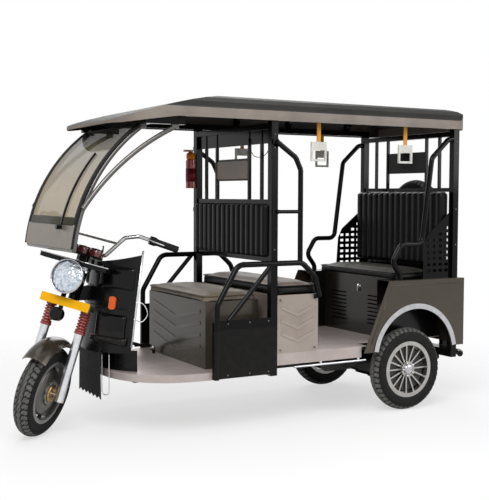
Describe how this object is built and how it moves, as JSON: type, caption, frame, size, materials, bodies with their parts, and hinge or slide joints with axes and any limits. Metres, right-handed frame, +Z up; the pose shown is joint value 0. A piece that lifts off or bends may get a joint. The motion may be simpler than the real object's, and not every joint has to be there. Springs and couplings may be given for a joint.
{
  "type": "electric auto rickshaw",
  "caption": "Open-sided electric three-wheel passenger rickshaw with a curved screen, long roof, facing seat rows, turning front fork and rolling wheels.",
  "frame": {"origin": "on the ground, under the middle of the box around the parked vehicle", "axes": "+X forward, +Y to the vehicle's left, +Z up"},
  "size_m": [2.701, 0.9812, 1.78],
  "materials": {
    "black_steel": "gloss black paint",
    "floor_metal": "warm grey paint over pressed sheet",
    "black_plastic": "black moulded plastic",
    "reflector_orange": "orange reflector plastic",
    "rubber": "black rubber",
    "vinyl_grey": "grey-brown vinyl",
    "vinyl_black": "black vinyl",
    "vinyl_tan": "tan vinyl",
    "battery_case": "black battery case",
    "body_paint": "olive bronze metallic paint",
    "chrome_trim": "bright trim",
    "lamp_red": "red lamp plastic",
    "tyre": "black tyre rubber",
    "alloy": "cast alloy",
    "roof_skin": "dark grey moulded skin with a lighter warm-grey band",
    "screen_tube": "grey painted tube",
    "screen_clear": "clear tinted sheet",
    "panel_grey": "grey-brown paint",
    "strap_yellow": "yellow webbing with pale loops",
    "red_paint": "red paint",
    "dark_iron": "dark iron",
    "bright_steel": "bright steel",
    "spring_red": "dark red paint",
    "lens": "clear moulded lens",
    "bar_yellow": "yellow-orange paint"
  },
  "bodies": {
    "chassis": {"chassis_frame": "black_steel", "floor_front": "floor_metal", "floor_rear": "floor_metal", "leg_shield": "black_plastic", "front_reflectors": "reflector_orange", "mudflap": "rubber", "driver_seat_box": "body_paint", "side_guards": "black_steel", "side_rails": "black_steel", "mid_seat_box": "floor_metal", "battery_pack": "battery_case", "front_partition": "black_steel", "front_backrest": "vinyl_black", "rear_partition": "black_steel", "rear_backrest": "vinyl_black", "rear_bench_box": "body_paint", "side_screens": "black_steel", "arm_tubes": "black_steel", "rear_body": "body_paint", "arch_trims": "chrome_trim", "tail_panel": "body_paint", "tail_lamps": "lamp_red", "rear_bumper": "black_steel", "spare_tyre": "tyre", "spare_rim": "alloy", "roof": "roof_skin", "roof_frame": "black_steel", "screen_frame": "screen_tube", "windscreen": "screen_clear", "screen_panel": "panel_grey", "wiper": "black_plastic", "grab_straps": "strap_yellow", "fire_extinguisher": "red_paint", "rear_axle": "dark_iron", "motor": "dark_iron", "leaf_springs": "black_steel", "step_rods": "bright_steel"},
    "steering": {"fork": "bright_steel", "fork_springs": "spring_red", "front_fender": "body_paint", "headlamp": "black_plastic", "headlamp_lens": "lens", "number_bar": "bar_yellow", "horn": "black_plastic", "handlebar": "chrome_trim", "instrument_tray": "black_plastic"},
    "front_wheel": {"front_tyre": "tyre", "front_rim": "alloy"},
    "left_wheel": {"left_tyre": "tyre", "left_rim": "alloy"},
    "right_wheel": {"right_tyre": "tyre", "right_rim": "alloy"},
    "driver_lid": {"driver_seat": "vinyl_grey"},
    "mid_lid": {"mid_seat": "vinyl_tan"},
    "rear_lid": {"rear_seat": "vinyl_tan"}
  },
  "joints": [
    {"name": "steering", "type": "hinge", "parent": "chassis", "child": "steering", "pos_m": [1.14204, 0, 0.22957], "axis": [-0.3123, 0, 0.95], "range_deg": [-90, 0]},
    {"name": "front_wheel_spin", "type": "hinge", "parent": "steering", "child": "front_wheel", "pos_m": [1.15951, 0.01838, 0.23531], "axis": [-0.6717, 0.7071, -0.2209], "continuous": true},
    {"name": "left_wheel_spin", "type": "hinge", "parent": "chassis", "child": "left_wheel", "pos_m": [-0.88526, 0.419, 0.24], "axis": [0, 1, 0], "continuous": true},
    {"name": "right_wheel_spin", "type": "hinge", "parent": "chassis", "child": "right_wheel", "pos_m": [-0.88526, -0.419, 0.24], "axis": [0, 1, 0], "continuous": true},
    {"name": "driver_seat_lid", "type": "hinge", "parent": "chassis", "child": "driver_lid", "pos_m": [0.07474, 0, 0.738], "axis": [0, -1, 0], "range_deg": [0, 65]},
    {"name": "mid_seat_lid", "type": "hinge", "parent": "chassis", "child": "mid_lid", "pos_m": [0.01274, 0, 0.785], "axis": [0, 1, 0], "range_deg": [0, 65]},
    {"name": "rear_seat_lid", "type": "hinge", "parent": "chassis", "child": "rear_lid", "pos_m": [-1.13526, 0, 0.82], "axis": [0, -1, 0], "range_deg": [0, 65]}
  ]
}
